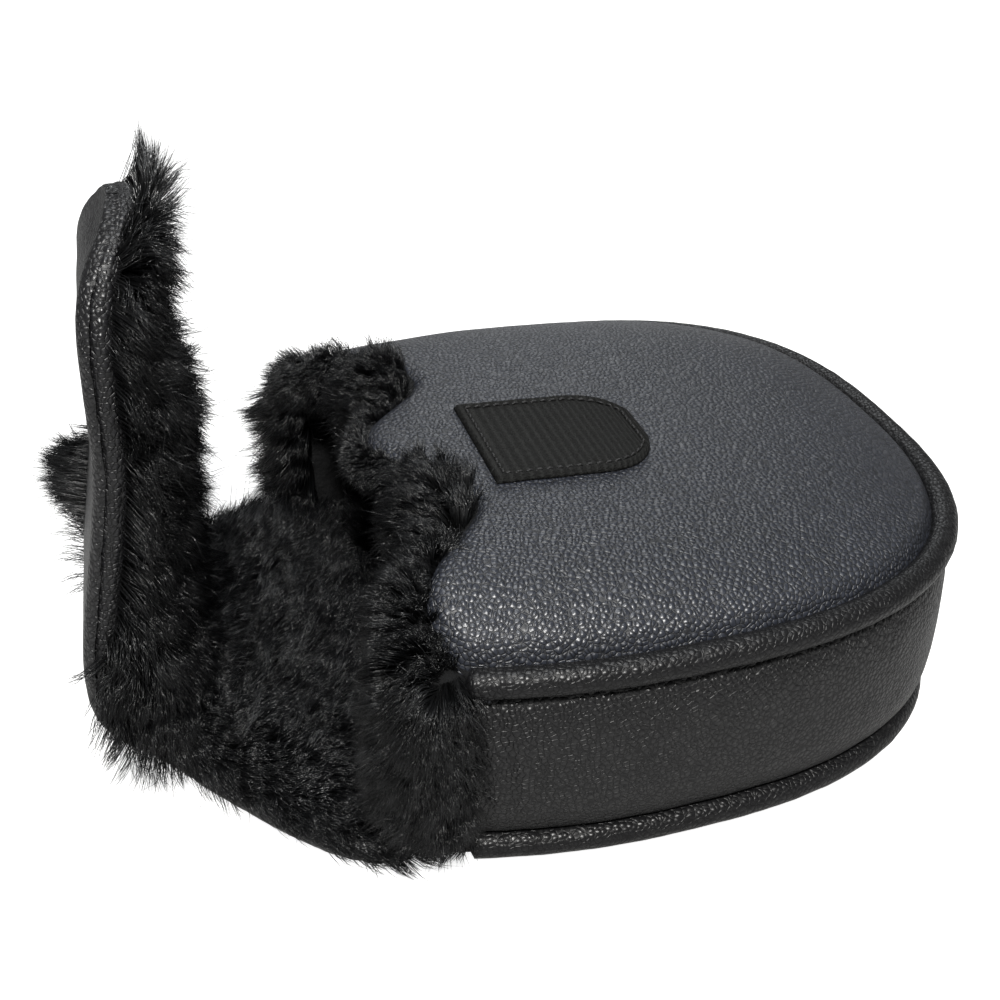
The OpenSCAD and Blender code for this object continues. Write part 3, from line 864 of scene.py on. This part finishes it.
def flap_pile(name, s0, s1, count, length, seed, edge_lean, lay, fold):
    uv, draw = spread(count, seed)
    s = s0 + (s1 - s0) * uv[:, 0]
    q = np.clip(2 * uv[:, 1] - 1, -1, 1)
    q = np.sign(q) * np.abs(q) ** 0.85
    half = flap_half(s) - 1.2 + 1.0 * np.clip((78 - s) / 14, 0, 1)
    y = q * half
    t = back_t + pile_base(s, q) - 0.4
    roots = flap_at(s, y, t)
    lean = edge_lean(s) * np.abs(q) ** 3
    far_tuft = np.where(q > 0, q ** 4, 0) * np.exp(-((s - 66) / 13) ** 2)
    if fold == "upper":
        stray = np.arange(len(s)) % 9 == 0
        s = np.where(stray, tuft_at + 5.0 * draw.normal(size=len(s)).clip(-2.4, 2.4), s)
        q = np.where(stray, 1, q)
        y = np.where(stray, half + 0.6, y)
        roots = np.where(stray[:, None], flap_at(s, y, 3.0 + 3.0 * draw.uniform(size=len(s))), roots)
    else:
        stray = np.zeros(len(s), bool)
    sideways = np.zeros((len(s), 3))
    sideways[:, 1] = np.sign(q)
    tail = np.clip((s - flap_end + 16) / 16, 0, 1)[:, None] ** 2
    normals = unit(flap_in(s) * np.cos(lean)[:, None] + sideways * np.sin(lean)[:, None]
                   + flap_on(s) * 1.5 * tail)
    cover = (np.abs(q) ** 8 * np.clip((80 - s) / 16, 0, 1) * np.clip((s - 30) / 10, 0, 1))[:, None]
    nap = unit(-flap_on(s) * (1 - 2.0 * tail) + sideways * (0.7 * np.abs(q) ** 2)[:, None]
               - flap_in(s) * 1.5 * cover)
    size = np.full(len(s), float(length))
    normals = np.where(stray[:, None], unit(sideways * 0.75 - flap_in(s)), normals)
    nap = np.where(stray[:, None], unit(-flap_in(s) + flap_on(s) * 0.2), nap)
    size = np.where(stray, tuft_length * np.exp(-((s - tuft_at) / 12) ** 2), size)
    size = size * (1 + 0.75 * far_tuft * ~stray)
    size = size * (1 - 0.25 * np.abs(q) ** 6 * (s < 40)) * (1 + 0.35 * tail[:, 0])
    piece = grow(name, roots, normals, nap, size, seed, lay)
    bend(piece)
    return piece


def lean_of(s):
    """How far the pile splays over the rolled edge: all the way low down, little above."""
    return np.radians(86 + 30 * np.clip((s - 30) / 12, 0, 1) - 82 * np.clip((s - 62) / 24, 0, 1))


flap_pile("base_pile_a", -4, join_low, 16000, 11.5, 101, lean_of, 0.62, "mouth")
flap_pile("base_pile_b", -4, join_low, 15000, 12.0, 102, lean_of, 0.55, "mouth")
flap_pile("middle_pile_a", join_low, join_high, 18000, 12.5, 103, lean_of, 0.6, "turn")
flap_pile("middle_pile_b", join_low, join_high, 12000, 12.0, 104, lean_of, 0.5, "turn")
flap_pile("tip_pile_a", join_high, flap_end - 3, 18000, 10.5, 105, lean_of, 0.6, "upper")
flap_pile("tip_pile_b", join_high, flap_end - 3, 12000, 11.0, 106, lean_of, 0.5, "upper")


def mouth_pile(name, y0, y1, count, length, seed):
    uv, _ = spread(count, seed)
    y = y0 + (y1 - y0) * uv[:, 0]
    angle = np.radians(-35 + 260 * uv[:, 1])
    centre, r = mouth_path(y)
    ahead, _ = mouth_path(y + 0.1)
    along = unit(ahead - centre)
    out = unit(np.cross(np.array([0.0, 0, 1]), along))
    out = np.where((out[:, :1] > 0), -out, out)
    normals = np.sin(angle)[:, None] * out + np.cos(angle)[:, None] * np.array([0, 0, 1.0])
    roots = centre + normals * (r * 0.9)[:, None]
    nap = unit(out * 0.8 + np.array([-0.5, 0, -0.75]))
    piece = grow(name, roots, normals, nap, length * (0.62 + 0.06 * r), seed, 0.5)
    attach(piece, "pouch")
    return piece


mouth_pile("near_mouth_pile", -55, -11.5, 17000, 9.5, 111)
mouth_pile("tongue_pile", -11.5, 11.5, 4500, 5.5, 112)
mouth_pile("far_mouth_pile", 11.5, 55, 13000, 9.5, 113)


def side_pile(name, side, count, length, seed):
    uv, _ = spread(count, seed)
    z = 6 + 34 * uv[:, 0]
    angle = np.radians(-70 + 200 * uv[:, 1])
    out = np.column_stack([-np.cos(angle), side * np.sin(angle), np.zeros(len(z))])
    low = np.clip((15 - z) / 8, 0, 1)[:, None]
    normals = unit(out)
    roots = np.column_stack([end_roll_x(z), np.full(len(z), side * end_roll_y), z]) + out * 4.3
    nap = unit(out * 0.4 + np.array([-0.5, 0.0, -0.85]) * (1 - low) + np.array([-0.9, 0, 0.15]) * low)
    piece = grow(name, roots, normals, nap, length * (1 - 0.3 * low[:, 0]), seed, 0.55)
    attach(piece, "pouch")
    return piece


side_pile("near_side_pile", -1, 16000, 10.0, 121)
side_pile("far_side_pile", 1, 8500, 13.5, 122)


def floor_pile(name, count, length, seed):
    uv, _ = spread(count, seed)
    x = fold_x + 1 + 52 * uv[:, 0] ** 1.2
    y = 49 * (2 * uv[:, 1] - 1)
    roots = np.column_stack([x, y, np.full(len(x), 6.6)])
    normals = np.tile([0.0, 0, 1], (len(x), 1))
    nap = np.tile(unit(np.array([-1.0, 0.2, 0.1])), (len(x), 1))
    piece = grow(name, roots, normals, nap, np.full(len(x), length), seed, 0.45)
    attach(piece, "pouch")
    return piece


floor_pile("floor_pile", 10000, 9.0, 131)


# ---- loop patch ------------------------------------------------------------------------
# A soft loop-tape patch on the lid, straight towards the mouth and round towards the back,
# with a close-ribbed face and a sewn-down margin.
loop_len = 33.0
loop_w = 29.0
loop_start = -19.0
loop_y = -7.0
loop_round = 0.45 * loop_w


def webbing(name, rib_count, low, high):
    material = bpy.data.materials.new(name)
    material.use_nodes = True
    nodes, links = material.node_tree.nodes, material.node_tree.links
    shader = nodes["Principled BSDF"]
    place = nodes.new("ShaderNodeTexCoord")
    ribs = nodes.new("ShaderNodeTexWave")
    ribs.wave_type = "BANDS"
    ribs.bands_direction = "X"
    ribs.inputs["Scale"].default_value = rib_count / 2
    ribs.inputs["Distortion"].default_value = 3.0
    ribs.inputs["Detail"].default_value = 3
    ribs.inputs["Detail Scale"].default_value = 8
    links.new(place.outputs["UV"], ribs.inputs["Vector"])
    fuzz = nodes.new("ShaderNodeTexNoise")
    fuzz.inputs["Scale"].default_value = 1500
    fuzz.inputs["Detail"].default_value = 5
    links.new(place.outputs["Object"], fuzz.inputs["Vector"])
    both = times_plus(nodes, links, fuzz.outputs["Fac"], 1.6, ribs.outputs["Fac"])
    half = nodes.new("ShaderNodeMath")
    half.operation = "MULTIPLY"
    half.inputs[1].default_value = 0.38
    links.new(both, half.inputs[0])
    links.new(blend_colour(nodes, links, half.outputs[0], low, high), shader.inputs["Base Color"])
    links.new(map_value(nodes, links, fuzz.outputs["Fac"], 0.75, 1.0), shader.inputs["Roughness"])
    bump = nodes.new("ShaderNodeBump")
    bump.inputs["Strength"].default_value = 1
    bump.inputs["Distance"].default_value = 0.35 * mm
    links.new(both, bump.inputs["Height"])
    links.new(bump.outputs["Normal"], shader.inputs["Normal"])
    shader.inputs["Specular IOR Level"].default_value = 0.14
    return material


loop_tape = webbing("loop_tape", 17, (0.0004, 0.0004, 0.0004), (0.017, 0.0175, 0.017))
hook_tape = webbing("hook_tape", 18, (0.003, 0.003, 0.003), (0.020, 0.020, 0.021))


def loop_half(x):
    into = np.clip((x - (loop_start + loop_len - loop_round)) / loop_round, 0, 1)
    return loop_w / 2 * np.clip(1 - into ** 2.4, 0.01, 1) ** (1 / 2.4)


def loop_place(u, v):
    x = loop_start + loop_len * np.sin(np.pi / 2 * u)
    q = 2 * v - 1
    q = np.sign(q) * (1 - (1 - np.abs(q)) ** 1.3)
    y = loop_y + loop_half(x) * q
    into = np.minimum.reduce([(1 - np.abs(q)) * loop_half(x), x - loop_start,
                              loop_start + loop_len - x])
    points = np.column_stack([x, y, np.zeros(len(x))])
    rim = np.clip(into / 1.1, 0, 1)
    welt = np.exp(-((into - 1.0) / 0.7) ** 2) * 0.35 - np.exp(-((into - 2.2) / 0.6) ** 2) * 0.25
    lift = 0.15 + 0.8 * np.sqrt(np.clip(1 - (1 - rim) ** 2, 0, 1)) + welt + 0.10 * wander(points, 3, 81)
    return np.column_stack([x, y, lid_z(x, y) + lift])


loop = cut_panel("loop_patch_tape", 90, 80, loop_place, loop_tape, 0.7)
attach(loop, "pouch")
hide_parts("loop_patch")


# ---- hook patch ------------------------------------------------------------------------
# A square of hook tape sewn to the fur side of the flap's tip, which meets the loop patch
# when the flap is closed.
hook_size = 26.0
hook_start = flap_end - 10 - hook_size
hook_t = 8.4


def hook_place(u, v):
    s = hook_start + hook_size * u
    q = 1 - 2 * v
    into = np.minimum(1 - np.abs(q), 1 - np.abs(2 * u - 1)) * hook_size / 2
    lift = 0.7 * np.sqrt(np.clip(1 - (1 - np.clip(into, 0, 1)) ** 2, 0, 1))
    return flap_at(s, q * hook_size / 2, hook_t - 0.6 + lift)


hook = cut_panel("hook_patch_tape", 40, 40, hook_place, hook_tape, 0.7)
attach(hook, "flap_tip")
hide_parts("hook_patch")


# ---- thread ----------------------------------------------------------------------------
# Black sewing thread: short stitches made one by one round the loop patch, and the drawn
# threads of the hook patch and the two seams.
def thread_material():
    material = bpy.data.materials.new("sewing_thread")
    material.use_nodes = True
    nodes, links = material.node_tree.nodes, material.node_tree.links
    shader = nodes["Principled BSDF"]
    place = nodes.new("ShaderNodeTexCoord")
    ply = nodes.new("ShaderNodeTexWave")
    ply.bands_direction = "DIAGONAL"
    ply.inputs["Scale"].default_value = 900
    links.new(place.outputs["Object"], ply.inputs["Vector"])
    colour = blend_colour(nodes, links, ply.outputs["Fac"], (0.002, 0.002, 0.0022),
                          (0.007, 0.007, 0.0075))
    links.new(colour, shader.inputs["Base Color"])
    links.new(map_value(nodes, links, ply.outputs["Fac"], 0.7, 0.45), shader.inputs["Roughness"])
    bump = nodes.new("ShaderNodeBump")
    bump.inputs["Distance"].default_value = 0.1 * mm
    links.new(ply.outputs["Fac"], bump.inputs["Height"])
    links.new(bump.outputs["Normal"], shader.inputs["Normal"])
    return material


thread = thread_material()


stitch_radii = (0.14, 0.22, 0.24, 0.24, 0.22, 0.14)


def stitches(name, path, length, body, node):
    """A row of short stitches along a closed line, each humped and sunk at its ends."""
    run = np.concatenate([[0], np.cumsum(np.linalg.norm(np.diff(path, axis=0), axis=1))])
    count = int(run[-1] / length)
    parts = []
    for i in range(count):
        at = run[-1] * (i + np.linspace(0.14, 0.86, 6)) / count
        line = np.column_stack([np.interp(at, run, path[:, k]) for k in range(3)])
        line[:, 2] += 0.22 * np.sin(np.linspace(0, np.pi, 6)) - 0.1
        parts.append(stitched_tube(f"{name}_{i}", line, stitch_radii, thread, 6))
    deselect()
    for part in parts:
        part.select_set(True)
    bpy.context.view_layer.objects.active = parts[0]
    bpy.ops.object.join()
    row = bpy.context.object
    row.name = name
    row.data.name = name
    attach(row, body)
    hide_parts(node)


margin = 1.9
stitch_pitch = 1.9
edge_x = np.linspace(loop_start + margin, loop_start + loop_len - margin, 90)
edge_y = np.maximum(loop_half(edge_x + margin * 0.3) - margin, 0)
ring = np.vstack([np.column_stack([edge_x, loop_y - edge_y]),
                  np.column_stack([edge_x, loop_y + edge_y])[::-1],
                  [[edge_x[0], loop_y - edge_y[0]]]])
ring = np.column_stack([ring, lid_z(ring[:, 0], ring[:, 1]) + 0.98])
stitches("loop_stitches", ring, stitch_pitch, "pouch", "loop_stitching")

for node in ("bottom_seam_thread", "top_seam_thread", "hook_stitching"):
    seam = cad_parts[node]
    seam.data.materials.clear()
    seam.data.materials.append(thread)


# ---- floor, lights and camera ----------------------------------------------------------
# A plain white sweep, a wide cool light overhead, a small warmer one from the front and a
# weak one from behind. Floor and surroundings look white but light the object only a little.
def floor_material():
    material = bpy.data.materials.new("floor")
    material.use_nodes = True
    nodes, links = material.node_tree.nodes, material.node_tree.links
    shader = nodes["Principled BSDF"]
    shader.inputs["Base Color"].default_value = (0.36, 0.36, 0.36, 1)
    shader.inputs["Roughness"].default_value = 0.8
    shader.inputs["Specular IOR Level"].default_value = 0.1
    seen = nodes.new("ShaderNodeLightPath")
    lift = map_value(nodes, links, seen.outputs["Is Camera Ray"], 0.0, 0.95)
    links.new(lift, shader.inputs["Emission Strength"])
    shader.inputs["Emission Color"].default_value = (1, 1, 1, 1)
    return material


deselect()
bpy.ops.mesh.primitive_plane_add(size=8, location=(0, 0, cad_low.z - 0.0004))
ground = bpy.context.object
ground.name = "ground"
ground.data.materials.append(floor_material())

world = bpy.data.worlds.new("studio")
bpy.context.scene.world = world
world.use_nodes = True
nodes, links = world.node_tree.nodes, world.node_tree.links
nodes["Background"].inputs["Color"].default_value = (1, 1, 1, 1)
world_ray = nodes.new("ShaderNodeLightPath")
glow = map_value(nodes, links, world_ray.outputs["Is Camera Ray"], 0.15, 1.1)
links.new(glow, nodes["Background"].inputs["Strength"])
bpy.context.scene.view_settings.view_transform = "Standard"

aim = Vector((-11.46, 1.36, 34.11)) * mm


def soft_light(name, place, size, power, colour):
    bpy.ops.object.light_add(type="AREA", location=place)
    light = bpy.context.object
    light.name = name
    light.data.shape = "DISK"
    light.data.size = size
    light.data.energy = power
    light.data.color = colour
    light.rotation_euler = (aim - Vector(place)).to_track_quat("-Z", "Y").to_euler()
    return light


soft_light("overhead", (0.0, 0.05, 1.1), 0.7, 7.5, (0.96, 0.985, 1.0))
soft_light("key", (-0.16, -0.52, 0.74), 0.10, 14.0, (1.0, 0.985, 0.955))
soft_light("back", (0.35, 1.0, 0.5), 0.6, 2.0, (0.95, 0.98, 1.0))

azimuth = math.radians(-17)
elevation = math.radians(32.194)
distance = 275.51 * mm
away = Vector((math.sin(azimuth) * math.cos(elevation), -math.cos(azimuth) * math.cos(elevation),
               math.sin(elevation)))
bpy.ops.object.camera_add(location=aim + away * distance)
camera = bpy.context.object
camera.rotation_euler = away.to_track_quat("Z", "Y").to_euler()
camera.data.lens = 50.4
camera.data.sensor_width = 36
camera.data.clip_start = 0.01
bpy.context.scene.camera = camera
